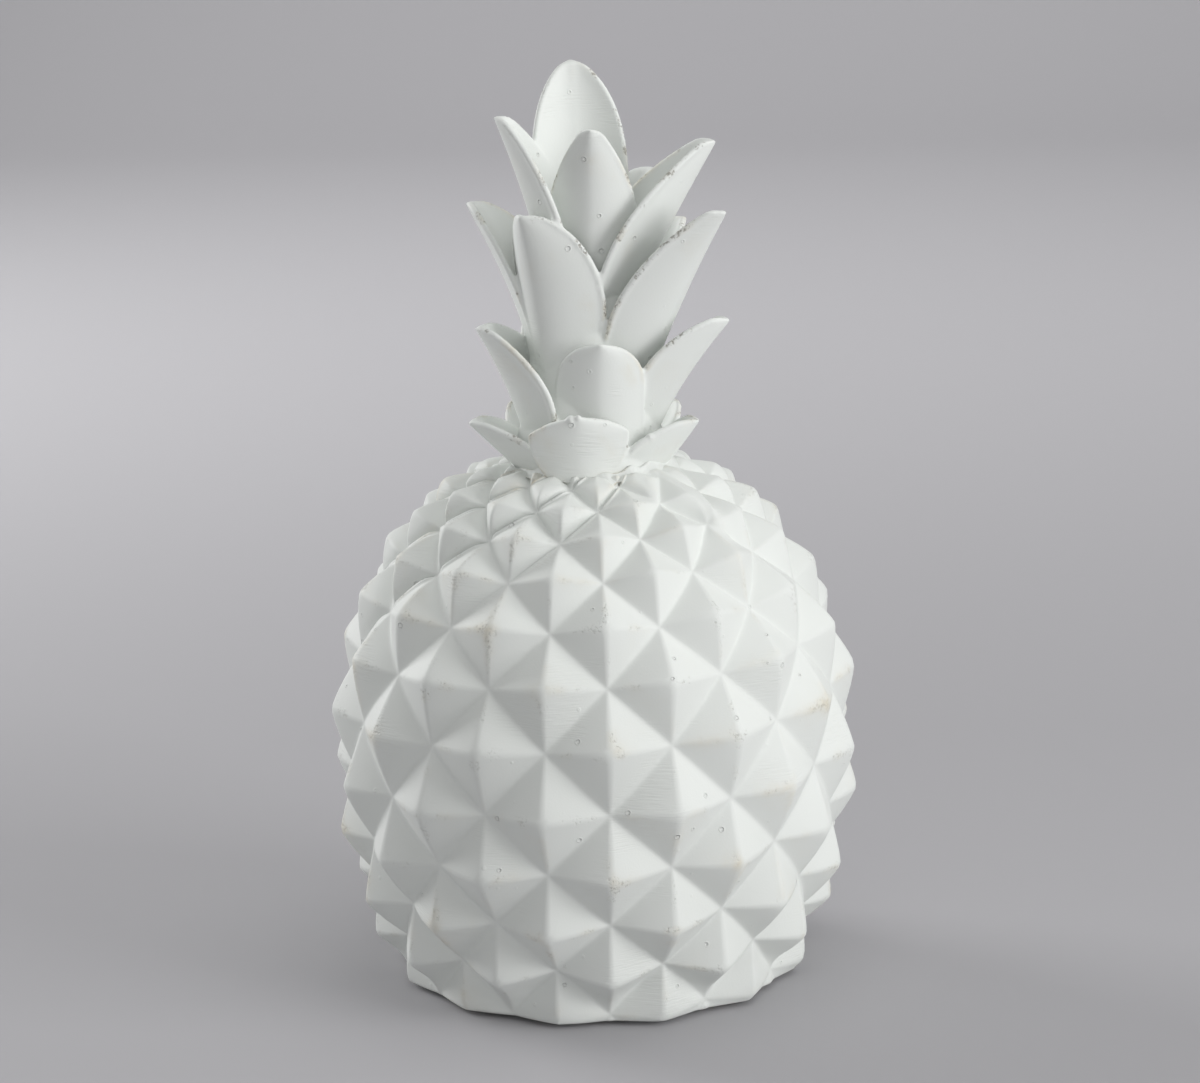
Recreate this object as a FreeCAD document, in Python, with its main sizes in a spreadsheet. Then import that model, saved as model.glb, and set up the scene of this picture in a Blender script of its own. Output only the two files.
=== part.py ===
import FreeCAD, Part
import math
import os

import Sketcher

# Pineapple figurine, cast in resin and painted matt white, about 24 cm high. All lengths are in
# millimetres. The origin is on the axis of the fruit, on the face that the figurine rests on, with
# +Z up and the front of the figurine towards -Y.

SIZES = {
    # Fruit: the smooth body that the valleys between the scales lie on
    "fruit_radius": 63.7,
    "girth_height": 66.4,
    "foot_radius": 45.7,
    "seat_height": 136.0,
    "neck_radius": 21.2,
    # Scales: how far the tip of a pyramid stands out of the body
    "scale_relief": 6.2,
    # Casting: its wall, the filling hole with a rebate for the plug, and the socket for the crown
    "wall": 6.0,
    "rim_width": 12.0,
    "ledge_width": 5.0,
    "ledge_thickness": 5.0,
    "socket_depth": 14.0,
    # Crown: spigot, stalk and the thickness of its leaves
    "spigot_radius": 12.0,
    "spigot_clearance": 0.15,
    "spigot_end_gap": 0.6,
    "spigot_chamfer": 1.2,
    "stalk_radius": 19.6,
    "stalk_collar": 4.0,
    "stalk_height": 64.0,
    "leaf_thickness": 2.8,
    "leaf_rim_thickness": 1.7,
    # Tiers of leaves from the lowest up: the root and the tips above the seat, the radius of the
    # root, the reach of the tips from the axis, and half the width of a leaf
    "skirt_root": 3.2,
    "skirt_root_radius": 18.8,
    "skirt_tip": 17.0,
    "skirt_reach": 32.0,
    "skirt_half_width": 14.0,
    "lower_root": 8.0,
    "lower_root_radius": 17.4,
    "lower_tip": 37.5,
    "lower_reach": 34.0,
    "lower_half_width": 11.8,
    "middle_root": 20.0,
    "middle_root_radius": 14.6,
    "middle_tip": 68.0,
    "middle_reach": 35.0,
    "middle_half_width": 12.4,
    "upper_root": 40.0,
    "upper_root_radius": 10.4,
    "upper_tip": 90.0,
    "upper_reach": 30.0,
    "upper_half_width": 10.8,
    "top_root": 48.0,
    "top_root_radius": 7.5,
    "top_tip": 102.3,
    "top_reach": 16.0,
    "top_half_width": 12.6,
    # Filler round the foot of the crown
    "filler_width": 3.0,
    "filler_height": 2.6,
    "filler_lip": 0.6,
    "filler_gap": 0.3,
    # Plug and felt pad under the foot
    "plug_thickness": 3.0,
    "plug_clearance": 0.3,
    "plug_chamfer": 0.8,
    "felt_thickness": 1.0,
    "felt_inset": 4.0,
}

# The lattice of scales winds round the fruit like the rows of a real pineapple: one turn has 25
# half columns, in which a row climbs by half a row. Rows are counted from the girth in half rows,
# up positive, and columns from the front, to the right positive.
HALF_COLUMNS = 25
FARTHEST_COLUMN = 12
LOWEST_ROW = -8
HIGHEST_ROW = 10
LATTICE_TURN = 3.0
LATTICE_SHIFT = -0.4
UPPER_ROW_ANGLE = 13.1
UPPER_CROWDING_SHARE = 0.0336
LOWER_ROW_ANGLE = 9.83
LOWER_CROWDING_SHARE = 0.0117
FOOT_RELIEF_SHARE = 0.45
NECK_RELIEF_POWER = 0.3
# Near the neck the scales grow lower by a share and lean outwards by a share, between these rows
NECK_FADE_ROWS = (5.0, 6.9)
NECK_FADE_SHARE = 0.72
LEAN_ROWS = (3.0, 6.0)
LEAN_SHARE = 0.4

# Corners of the cavity's side, as shares of its height from its floor to its vault
CAVITY_HEIGHT_SHARES = (0.0, 0.3, 0.68, 0.86, 1.0)

# The stalk has flat sides. Its rings above the collar have these shares of its radius and height.
STALK_SIDES = 32
STALK_SHARES = [(0.97, 0.16), (0.82, 0.38), (0.64, 0.68), (0.36, 1.0)]

# Stations of a leaf, as shares of its length from root to tip, and points across it, as shares of
# half its width
LEAF_STATION_SHARES = (0.0, 0.16, 0.34, 0.52, 0.68, 0.81, 0.91, 0.97, 1.0)
LEAF_ACROSS_SHARES = (-1.0, -0.5, 0.0, 0.5, 1.0)
# Power that rounds a leaf's gutter
LEAF_CUP_POWER = 1.7
# Outlines of leaves: the half width at root and at tip as shares of the greatest, the powers with
# which the leaf narrows to its tip, and the share of its length at which it is widest
OUTLINE_SHARES = {
    "slim": (0.8, 0.08, 1.75, 0.9, 0.36),
    "blade": (0.8, 0.09, 2.4, 0.95, 0.38),
    "flared": (1.12, 0.08, 2.0, 0.9, 0.24),
    "rounded": (0.8, 0.05, 2.7, 0.75, 0.4),
    "arched": (1.0, 0.08, 3.9, 0.84, 0.33),
    "tapered": (0.85, 0.18, 2.0, 1.0, 0.4),
    "shouldered": (0.45, 0.04, 1.95, 0.76, 0.42),
}

# Leaves of each tier: the azimuth in degrees from the front, to the right positive, and the roll
# about its own length in degrees, the outline, the shares of the tier's reach, tip height and half
# width, the gutter's depth as a share of half the width, and the shares of the leaf's run and rise
# at which its bow's middle lies
LEAF_SHARES = {
    "skirt": [
        (-7, 5, "arched", 0.77, 0.97, 0.92, 0.28, 0.32, 0.42),
        (67, 0, "flared", 0.95, 0.75, 0.89, 0.55, 0.36, 0.3),
        (134, 0, "flared", 1.0, 0.66, 0.9, 0.5, 0.36, 0.3),
        (-142, 0, "flared", 1.02, 0.66, 0.9, 0.5, 0.36, 0.3),
        (-74, -4, "flared", 1.02, 0.73, 0.89, 0.5, 0.32, 0.32),
    ],
    "lower": [
        (8, -8, "arched", 0.63, 0.92, 0.975, 0.4, 0.3, 0.5),
        (75, -6, "blade", 1.09, 1.02, 0.98, 0.65, 0.29, 0.46),
        (152, 0, "rounded", 0.84, 0.95, 0.95, 0.6, 0.3, 0.5),
        (-150, 0, "rounded", 0.84, 0.95, 0.95, 0.6, 0.3, 0.5),
        (-78, -13, "slim", 0.87, 0.98, 1.19, 0.73, 0.3, 0.49),
    ],
    "middle": [
        (-46, 11, "shouldered", 0.68, 0.98, 1.16, 0.69, 0.49, 0.65),
        (63, -14, "slim", 1.11, 0.985, 1.05, 0.55, 0.37, 0.53),
        (125, 0, "blade", 0.9, 0.89, 0.9, 0.6, 0.3, 0.5),
        (180, 0, "blade", 0.9, 0.95, 1.0, 0.6, 0.3, 0.5),
        (-111, -6, "rounded", 0.96, 0.97, 0.98, 0.6, 0.06, 0.46),
    ],
    "upper": [
        (3, -10, "tapered", 0.62, 0.982, 1.11, 0.5, 0.2, 0.5),
        (85, 3, "slim", 1.107, 0.922, 1.26, 0.85, 0.36, 0.42),
        (136, 0, "blade", 0.833, 0.818, 1.0, 0.6, 0.3, 0.5),
        (-145, 0, "slim", 0.7, 0.8, 0.9, 0.6, 0.3, 0.5),
        (-83, -17, "shouldered", 0.783, 1.0, 1.157, 0.64, 0.14, 0.43),
    ],
    "top": [
        (194, -4, "rounded", 1.0, 1.0, 1.0, 0.42, 0.29, 0.53),
    ],
}

# Heights and radii that several pieces share, as expressions of the sheet's sizes
UPPER_RISE = (
    "(Sizes.seat_height - Sizes.girth_height) / sqrt(1 - (Sizes.neck_radius / Sizes.fruit_radius)^2)"
)
LOWER_DROP = (
    "(Sizes.girth_height - Sizes.felt_thickness)"
    " / sqrt(1 - (Sizes.foot_radius / Sizes.fruit_radius)^2)"
)
CAVITY_RADIUS = "(Sizes.fruit_radius - Sizes.wall)"
CAVITY_RISE = f"({UPPER_RISE} - Sizes.wall)"
CAVITY_DROP = f"({LOWER_DROP} - Sizes.wall)"
VAULT_HEIGHT = "(Sizes.seat_height - Sizes.socket_depth - Sizes.wall)"
RECESS_RADIUS = "(Sizes.foot_radius - Sizes.rim_width)"
HOLE_RADIUS = f"({RECESS_RADIUS} - Sizes.ledge_width)"
LEDGE_HEIGHT = "(Sizes.felt_thickness + Sizes.plug_thickness)"
FLOOR_HEIGHT = f"({LEDGE_HEIGHT} + Sizes.ledge_thickness)"
SPIGOT_END = "(Sizes.seat_height - Sizes.socket_depth + Sizes.spigot_end_gap)"


def fill_sheet(document):
    """Writes the driving sizes into a sheet of the document, each under its alias."""
    filled = document.addObject("Spreadsheet::Sheet", "Sizes")
    for line, (alias, value) in enumerate(SIZES.items(), start=1):
        filled.set(f"A{line}", alias)
        filled.set(f"B{line}", str(value))
        filled.setAlias(f"B{line}", alias)
    document.recompute()
    return filled


def size(alias):
    """The length that the sheet holds under an alias."""
    return float(sheet.get(alias))


def value_of(expression):
    """The number that an expression of the sheet's sizes gives."""
    return float(sheet.evalExpression(expression))


def labelled(kind, label):
    """A new object of the document with its label."""
    made = doc.addObject(kind, label)
    made.Label = label
    return made


def sketched_body(label, plane_role):
    """A body with an empty sketch on one of its origin planes."""
    body = labelled("PartDesign::Body", label)
    plane = next(feature for feature in body.Origin.OriginFeatures if feature.Role == plane_role)
    sketch = body.newObject("Sketcher::SketchObject", label + "_sketch")
    sketch.AttachmentSupport = (plane, [""])
    sketch.MapMode = "FlatFace"
    doc.recompute()
    return body, sketch


def turned_body(label, profile):
    """A body turned about the Z axis from a closed profile of (radius, height) expressions.

    A point whose radius is None lies on the axis.
    """
    body, sketch = sketched_body(label, "XZ_Plane")
    corners = []
    for radius, height in profile:
        corners.append(FreeCAD.Vector(value_of(radius) if radius else 0, value_of(height), 0))
    for start, end in zip(corners, corners[1:] + corners[:1]):
        sketch.addGeometry(Part.LineSegment(start, end), False)
    for index in range(len(corners)):
        after = (index + 1) % len(corners)
        sketch.addConstraint(Sketcher.Constraint("Coincident", index, 2, after, 1))
    for index, (radius, height) in enumerate(profile):
        if radius:
            bind(sketch, "DistanceX", index, corners[index].x, radius)
        else:
            sketch.addConstraint(Sketcher.Constraint("PointOnObject", index, 1, -2))
        bind(sketch, "DistanceY", index, corners[index].y, height)
    turned = body.newObject("PartDesign::Revolution", label + "_turned")
    turned.Profile = sketch
    turned.ReferenceAxis = (sketch, ["V_Axis"])
    turned.Angle = 360.0
    doc.recompute()
    return body


def bind(sketch, kind, index, start_value, expression):
    """Places the first point of a line from the sketch's origin by an expression."""
    number = sketch.addConstraint(Sketcher.Constraint(kind, -1, 1, index, 1, start_value))
    sketch.setExpression(f"Constraints[{number}]", expression)


def disc_body(label, radius, thickness):
    """A round disc padded up from the rest face, its sizes given as expressions."""
    body, sketch = sketched_body(label, "XY_Plane")
    circle = Part.Circle(FreeCAD.Vector(), FreeCAD.Vector(0, 0, 1), value_of(radius))
    sketch.addGeometry(circle, False)
    sketch.addConstraint(Sketcher.Constraint("Coincident", 0, 3, -1, 1))
    number = sketch.addConstraint(Sketcher.Constraint("Radius", 0, value_of(radius)))
    sketch.setExpression(f"Constraints[{number}]", radius)
    pad = body.newObject("PartDesign::Pad", label + "_pad")
    pad.Profile = sketch
    pad.setExpression("Length", thickness)
    doc.recompute()
    return body


def flat_face(corners):
    """A flat face through its corners in order."""
    return Part.Face(Part.makePolygon(list(corners) + [corners[0]]))


def closed_solid(faces):
    """The solid that closed facets bound, with its normals outwards."""
    solid = Part.makeSolid(Part.makeShell(faces))
    if solid.Volume < 0:
        solid.reverse()
    return solid


def skinned_solid(rings, end_faces=None):
    """A solid of triangles through rings of equally many points.

    end_faces gives the corners of an end's flat faces from its ring. Without it the rings go round
    in a circle, the last one joined to the first.
    """
    faces = []
    ends = [rings[0], rings[-1]] if end_faces else []
    following = rings[1:] if end_faces else rings[1:] + rings[:1]
    for near, far in zip(rings, following):
        for index in range(len(near)):
            after = (index + 1) % len(near)
            faces.append(flat_face([near[index], near[after], far[after]]))
            faces.append(flat_face([near[index], far[after], far[index]]))
    for ring in ends:
        faces.extend(flat_face(corners) for corners in end_faces(ring))
    return closed_solid(faces)


def latitude(row):
    """Latitude in radians of a row counted from the girth."""
    if row > 0:
        return math.radians(UPPER_ROW_ANGLE * row * (1 - UPPER_CROWDING_SHARE * row))
    return math.radians(LOWER_ROW_ANGLE * row * (1 + LOWER_CROWDING_SHARE * row))


def eased_share(row, rows):
    """A share that runs smoothly from 0 to 1 between two rows."""
    start, end = rows
    share = min(max((row - start) / (end - start), 0), 1)
    return share * share * (3 - 2 * share)


def scale_relief(row):
    """How far a scale's tip stands out at a row: more at the foot, less at the neck."""
    angle = latitude(row)
    if angle < 0:
        return size("scale_relief") * (1 - FOOT_RELIEF_SHARE * math.sin(angle))
    faded = 1 - NECK_FADE_SHARE * eased_share(row, NECK_FADE_ROWS)
    return size("scale_relief") * math.cos(angle) ** NECK_RELIEF_POWER * faded


def lattice_point(row, column, is_tip):
    """A point of the lattice: a valley's meeting point on the body, or a scale's tip above it."""
    azimuth = math.radians(LATTICE_TURN) + math.tau * column / HALF_COLUMNS
    climbed = row + azimuth / math.tau + LATTICE_SHIFT
    angle = latitude(climbed)
    girth = size("fruit_radius")
    rise = value_of(UPPER_RISE if angle > 0 else LOWER_DROP)
    radius = girth * math.cos(angle)
    height = size("girth_height") + rise * math.sin(angle)
    if is_tip:
        slope = math.hypot(rise * math.cos(angle), girth * math.sin(angle))
        outward, upward = rise * math.cos(angle) / slope, girth * math.sin(angle) / slope
        lean = LEAN_SHARE * eased_share(climbed, LEAN_ROWS)
        radius += scale_relief(climbed) * (outward + lean * upward)
        height += scale_relief(climbed) * (upward - lean * outward)
    return FreeCAD.Vector(radius * math.sin(azimuth), -radius * math.cos(azimuth), height)


def one_turn(row, column):
    """The same place of the lattice with its column in the turn about the front."""
    if column > FARTHEST_COLUMN:
        return row + 1, column - HALF_COLUMNS
    if column < -FARTHEST_COLUMN:
        return row - 1, column + HALF_COLUMNS
    return row, column


def scale_facets():
    """Corners of every scale's four facets, as places of the lattice with the tip first."""
    facets = []
    for row in range(LOWEST_ROW, HIGHEST_ROW + 1):
        for column in range(-FARTHEST_COLUMN, FARTHEST_COLUMN + 1):
            if (row + column) % 2 == 0:
                continue
            around = [
                one_turn(row + 1, column),
                one_turn(row, column + 1),
                one_turn(row - 1, column),
                one_turn(row, column - 1),
            ]
            for near, far in zip(around, around[1:] + around[:1]):
                facets.append(((row, column), near, far))
    return facets


def scaled_fruit():
    """The closed body of scales, before its foot and its neck are cut flat."""
    facets = scale_facets()
    points = {}
    edges = {}
    for tip, near, far in facets:
        points[tip] = lattice_point(*tip, True)
        points[near] = lattice_point(*near, False)
        points[far] = lattice_point(*far, False)
        edge = frozenset((near, far))
        edges[edge] = edges.get(edge, 0) + 1
    faces = [flat_face([points[place] for place in facet]) for facet in facets]
    rise, drop = value_of(UPPER_RISE), value_of(LOWER_DROP)
    top = FreeCAD.Vector(0, 0, size("girth_height") + rise)
    bottom = FreeCAD.Vector(0, 0, size("girth_height") - drop)
    for edge, uses in edges.items():
        if uses == 1:
            near, far = sorted(edge)
            pole = top if near[0] > 0 else bottom
            faces.append(flat_face([points[near], points[far], pole]))
    return closed_solid(faces)


def width_share(outline, along):
    """Share of a leaf's greatest width at a share of its length."""
    root, tip, power, fall, widest = OUTLINE_SHARES[outline]
    before = max(1 - along / widest, 0)
    after = max((along - widest) / (1 - widest), 0)
    return (1 - (1 - root) * before**2) * (tip + (1 - tip) * (1 - after**power) ** fall)


def leaf(tier, azimuth, roll, outline, shares):
    """A gutter-shaped leaf of a tier, convex outwards, from inside the stalk to its blunt tip."""
    reach_share, rise_share, half_share, cup_share, bow_reach_share, bow_rise_share = shares
    turn, tilt = math.radians(azimuth), math.radians(roll)
    outward = FreeCAD.Vector(math.sin(turn), -math.cos(turn), 0)
    sideways = FreeCAD.Vector(math.cos(turn), math.sin(turn), 0)
    upward = FreeCAD.Vector(0, 0, 1)
    seat = size("seat_height")
    root = outward * size(tier + "_root_radius") + upward * (seat + size(tier + "_root"))
    tip = outward * size(tier + "_reach") * reach_share
    tip += upward * (seat + size(tier + "_tip") * rise_share)
    bow = root + outward * (tip - root).dot(outward) * bow_reach_share
    bow += upward * (tip - root).dot(upward) * bow_rise_share
    rings = []
    for along in LEAF_STATION_SHARES:
        back = 1 - along
        middle = root * back * back + bow * 2 * along * back + tip * along * along
        heading = ((bow - root) * back + (tip - bow) * along).normalize()
        level = heading.cross(sideways)
        across = sideways * math.cos(tilt) + level * math.sin(tilt)
        inward = level * math.cos(tilt) - sideways * math.sin(tilt)
        half = size(tier + "_half_width") * half_share * width_share(outline, along)
        outer, inner = [], []
        for place in LEAF_ACROSS_SHARES:
            rim = abs(place)
            depth = cup_share * half * rim**LEAF_CUP_POWER
            thickness = size("leaf_rim_thickness") * rim + size("leaf_thickness") * (1 - rim)
            outer.append(middle + across * half * place + inward * depth)
            inner.append(middle + across * half * place + inward * (depth + thickness))
        rings.append(outer + inner[::-1])
    return skinned_solid(rings, leaf_end)


def leaf_end(ring):
    """The flat strips that close a leaf's end, each between its outer and its inner side."""
    last = len(ring) - 1
    return [
        [ring[index], ring[index + 1], ring[last - index - 1], ring[last - index]]
        for index in range(len(LEAF_ACROSS_SHARES) - 1)
    ]


def stalk():
    """The crown's tapering stalk, with a straight collar at its foot."""
    radius, seat = size("stalk_radius"), size("seat_height")
    levels = [(radius, seat), (radius, seat + size("stalk_collar"))]
    for radius_share, height_share in STALK_SHARES:
        levels.append((radius * radius_share, seat + size("stalk_height") * height_share))
    rings = []
    for level in levels:
        rings.append([round_the_axis(*level, side) for side in range(STALK_SIDES)])
    return skinned_solid(rings, lambda ring: [ring])


def round_the_axis(radius, height, side):
    """A corner of one of the stalk's sides at a radius and a height."""
    angle = math.tau * side / STALK_SIDES
    return FreeCAD.Vector(radius * math.cos(angle), radius * math.sin(angle), height)


def shaped(label, shape):
    """An object that holds a shape worked out from the sheet's sizes."""
    made = labelled("Part::Feature", label)
    made.Shape = shape
    made.Placement = FreeCAD.Placement()
    return made


def fruit_shell():
    """The hollow fruit: its scales cut flat at foot and seat, less cavity, hole and socket."""
    scales = shaped("fruit_scales", scaled_fruit())
    slab = labelled("Part::Cylinder", "fruit_slab")
    slab.setExpression("Radius", "Sizes.fruit_radius * 2")
    slab.setExpression("Height", "Sizes.seat_height - Sizes.felt_thickness")
    slab.setExpression("Placement.Base.z", "Sizes.felt_thickness")
    trimmed = labelled("Part::Common", "fruit_trimmed")
    trimmed.Base = scales
    trimmed.Tool = slab

    profile = [
        (None, "Sizes.felt_thickness"),
        (RECESS_RADIUS, "Sizes.felt_thickness"),
        (RECESS_RADIUS, LEDGE_HEIGHT),
        (HOLE_RADIUS, LEDGE_HEIGHT),
        (HOLE_RADIUS, FLOOR_HEIGHT),
    ]
    for share in CAVITY_HEIGHT_SHARES:
        height = f"({FLOOR_HEIGHT} + {share} * ({VAULT_HEIGHT} - {FLOOR_HEIGHT}))"
        is_above = value_of(height) > size("girth_height")
        rise = CAVITY_RISE if is_above else CAVITY_DROP
        radius = f"{CAVITY_RADIUS} * sqrt(1 - (({height} - Sizes.girth_height) / {rise})^2)"
        profile.append((radius, height))
    profile.append((None, VAULT_HEIGHT))
    cavity = turned_body("fruit_cavity", profile)

    socket = labelled("Part::Cylinder", "crown_socket")
    socket.setExpression("Radius", "Sizes.spigot_radius + Sizes.spigot_clearance")
    socket.setExpression("Height", "Sizes.socket_depth")
    socket.setExpression("Placement.Base.z", "Sizes.seat_height - Sizes.socket_depth")

    hollow = labelled("Part::Cut", "fruit_hollow")
    hollow.Base = trimmed
    hollow.Tool = cavity
    shell = labelled("Part::Cut", "fruit_shell")
    shell.Base = hollow
    shell.Tool = socket
    return shell


def leaf_crown():
    """The crown: stalk, spigot and all leaves cast in one."""
    spigot = turned_body(
        "crown_spigot",
        [
            (None, SPIGOT_END),
            ("Sizes.spigot_radius - Sizes.spigot_chamfer", SPIGOT_END),
            ("Sizes.spigot_radius", f"{SPIGOT_END} + Sizes.spigot_chamfer"),
            ("Sizes.spigot_radius", "Sizes.seat_height + Sizes.stalk_collar"),
            (None, "Sizes.seat_height + Sizes.stalk_collar"),
        ],
    )
    pieces = [shaped("crown_stalk", stalk()), spigot]
    for tier, leaves in LEAF_SHARES.items():
        for number, (azimuth, roll, outline, *shares) in enumerate(leaves, start=1):
            pieces.append(shaped(f"{tier}_leaf_{number}", leaf(tier, azimuth, roll, outline, shares)))
    crown = labelled("Part::MultiFuse", "leaf_crown")
    crown.Shapes = pieces
    return crown


def neck_filler():
    """The ring of filler in the corner between the seat and the foot of the crown."""
    inside = size("stalk_radius") + size("filler_gap")
    outside = inside + size("filler_width")
    seat = size("seat_height")
    profile = [
        (inside, seat),
        (outside, seat),
        (outside, seat + size("filler_lip")),
        (inside + size("filler_lip"), seat + size("filler_height")),
        (inside, seat + size("filler_height")),
    ]
    rings = []
    for side in range(STALK_SIDES):
        rings.append([round_the_axis(*corner, side) for corner in profile])
    return shaped("neck_filler", skinned_solid(rings))


def base_plug():
    """The disc that closes the filling hole, chamfered so that it enters the rebate easily."""
    radius = f"({RECESS_RADIUS} - Sizes.plug_clearance)"
    return turned_body(
        "base_plug",
        [
            (None, "Sizes.felt_thickness"),
            (radius, "Sizes.felt_thickness"),
            (radius, f"{LEDGE_HEIGHT} - Sizes.plug_chamfer"),
            (f"{radius} - Sizes.plug_chamfer", LEDGE_HEIGHT),
            (None, LEDGE_HEIGHT),
        ],
    )


def felt_pad():
    """The felt disc under the foot, set in from its edge."""
    return disc_body("felt_pad", "Sizes.foot_radius - Sizes.felt_inset", "Sizes.felt_thickness")


def check_document():
    """Stops the build when an object of the document has failed."""
    for made in doc.Objects:
        if "Invalid" in made.State or "Error" in made.State:
            raise RuntimeError(f"{made.Label} has failed: {made.State}")


def check_piece(piece):
    """Stops the build when a piece isn't one sound solid, and prints its volume."""
    shape = piece.Shape
    if shape.isNull() or not shape.isValid() or len(shape.Solids) != 1:
        raise RuntimeError(f"{piece.Label} isn't one valid solid")
    print(f"{piece.Label}: {shape.Volume / 1000:.1f} cm3")


doc = FreeCAD.newDocument("pineapple_figurine")
sheet = fill_sheet(doc)
subparts = [fruit_shell(), leaf_crown(), neck_filler(), base_plug(), felt_pad()]
doc.recompute()
check_document()
for subpart in subparts:
    check_piece(subpart)
os.makedirs("parts", exist_ok=True)
for subpart in subparts:
    subpart.Shape.exportStep(f"parts/{subpart.Label}.step")
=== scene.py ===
import logging
import math
from dataclasses import dataclass
from enum import Enum
from typing import Callable, Iterable, Mapping, Sequence

import bmesh
import bpy
import numpy as np
from bmesh.types import BMEdge, BMesh, BMVert
from bpy.types import ID, Material, Mesh, Node, NodeSocket, NodeTree, Object
from mathutils import Matrix, Vector


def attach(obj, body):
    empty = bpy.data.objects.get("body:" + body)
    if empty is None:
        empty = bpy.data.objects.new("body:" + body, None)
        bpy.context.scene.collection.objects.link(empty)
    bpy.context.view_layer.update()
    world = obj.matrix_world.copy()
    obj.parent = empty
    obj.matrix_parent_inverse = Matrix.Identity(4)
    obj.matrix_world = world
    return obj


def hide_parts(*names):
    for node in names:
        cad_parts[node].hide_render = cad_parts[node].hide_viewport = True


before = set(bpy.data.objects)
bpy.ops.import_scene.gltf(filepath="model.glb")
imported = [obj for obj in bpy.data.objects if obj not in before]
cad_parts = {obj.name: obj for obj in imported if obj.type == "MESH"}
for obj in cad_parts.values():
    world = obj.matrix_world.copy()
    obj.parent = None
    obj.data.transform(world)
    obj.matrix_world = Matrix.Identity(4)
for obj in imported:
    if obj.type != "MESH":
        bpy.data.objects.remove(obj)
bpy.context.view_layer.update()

# Pineapple figurine: a hollow resin fruit with a lattice of pyramid scales, a resin crown of leaves,
# the filler at the neck, and the plug and felt under the foot. It is painted matt white all over.
# Sizes are written in millimetres and made metres by MM. The front of the figurine faces -Y.

MM = 0.001
LOG = logging.getLogger("pineapple_figurine")
WEAR_ROUNDS = 2
NOISE_MEAN = 0.5
# Sockets of the Mix node for colours, which have the same names as those for numbers.
MIX_SHARE, MIX_FIRST, MIX_SECOND, MIX_RESULT = 0, 6, 7, 2
Pair = tuple[float, float]
Triple = tuple[float, float, float]
Quad = tuple[float, float, float, float]


class Slot(Enum):
    """Names of the material slots."""

    PAINTED_RESIN = "painted_resin"
    PAINTED_FILLER = "painted_filler"
    PLUG_RESIN = "plug_resin"
    FELT = "felt"


def linear(colour: str) -> Quad:
    """Turns an sRGB hex value into a linear colour.

    Args:
        colour: Six hex digits after a hash.

    Returns:
        Red, green, blue and a full alpha.
    """
    levels = [int(colour[place:place + 2], 16) / 255 for place in (1, 3, 5)]
    parts = [
        level / 12.92 if level <= 0.04045 else ((level + 0.055) / 1.055) ** 2.4 for level in levels
    ]
    return parts[0], parts[1], parts[2], 1.0


@dataclass(frozen=True)
class Field:
    """What an output of a node tree gives, so that formulas for nodes are written as arithmetic.

    Attributes:
        tree: The node tree.
        socket: The output.
    """

    tree: NodeTree
    socket: NodeSocket

    def math(self, operation: str, *others: "Field | float") -> "Field":
        """Adds a node of arithmetic on this value and others."""
        operands = dict(enumerate((self, *others)))
        return field_of(self.tree, "ShaderNodeMath", operands, operation=operation)

    def __add__(self, other: "Field | float") -> "Field":
        """Adds another value."""
        return self.math("ADD", other)

    def __sub__(self, other: "Field | float") -> "Field":
        """Takes another value away."""
        return self.math("SUBTRACT", other)

    def __rsub__(self, other: float) -> "Field":
        """Takes this value away from a number."""
        return self.math("MULTIPLY_ADD", -1.0, other)

    def __mul__(self, other: "Field | float") -> "Field":
        """Multiplies by another value."""
        return self.math("MULTIPLY", other)

    def __truediv__(self, other: "Field | float") -> "Field":
        """Divides by another value."""
        return self.math("DIVIDE", other)

    def clamped(self, low: float = 0.0, high: float = 1.0) -> "Field":
        """Holds the value between two numbers."""
        return self.math("MAXIMUM", low).math("MINIMUM", high)

    def rising(self, start: float, slope: float) -> "Field":
        """Rises evenly from 0 at a start up to 1."""
        return ((self - start) * slope).clamped()

    def bell(self, width: float) -> "Field":
        """Falls off on a bell curve from 1 at 0."""
        ratio = self / width
        return (ratio * ratio * -1.0).math("EXPONENT")

    def mixed(self, other: "Field", share: "Field") -> "Field":
        """Goes from this value to another by a share."""
        return (other - self).math("MULTIPLY_ADD", share, self)

    def graded(self, start: float, end: float) -> "Field":
        """Goes smoothly from 0 at a start to 1 at an end."""
        inputs = {"Value": self, "From Min": start, "From Max": end}
        return field_of(self.tree, "ShaderNodeMapRange", inputs, interpolation_type="SMOOTHSTEP")


def add_node(tree: NodeTree, kind: str, inputs: Mapping | None = None, **settings: object) -> Node:
    """Adds a node with its settings, its values and its links.

    Args:
        tree: The node tree.
        kind: The node's type name.
        inputs: A value or a field for each input, by the input's name or number.
        settings: The node's own settings.

    Returns:
        The new node.
    """
    node = tree.nodes.new(kind)
    for name, value in settings.items():
        setattr(node, name, value)
    for key, value in (inputs or {}).items():
        if isinstance(value, Field):
            tree.links.new(value.socket, node.inputs[key])
        else:
            node.inputs[key].default_value = value
    return node


def field_of(
    tree: NodeTree, kind: str, inputs: Mapping | None = None, output: int | str = 0, **settings: object
) -> Field:
    """Adds a node and gives one of its outputs, by name or number, as a field."""
    return Field(tree, add_node(tree, kind, inputs, **settings).outputs[output])


def combined(*parts: Field) -> Field:
    """Puts up to three values together as a vector."""
    return field_of(parts[0].tree, "ShaderNodeCombineXYZ", dict(enumerate(parts)))


def noise_of(place: Field, size_mm: float, detail: float = 2.0) -> Field:
    """Adds a noise whose lumps have a real size.

    Args:
        place: The coordinates in metres.
        size_mm: The size of a lump in millimetres.
        detail: How many finer layers the noise has.

    Returns:
        The noise, about 0.5 on average.
    """
    inputs = {"Vector": place, "Scale": 1 / (size_mm * MM), "Detail": detail}
    return field_of(place.tree, "ShaderNodeTexNoise", inputs, "Fac")


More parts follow.
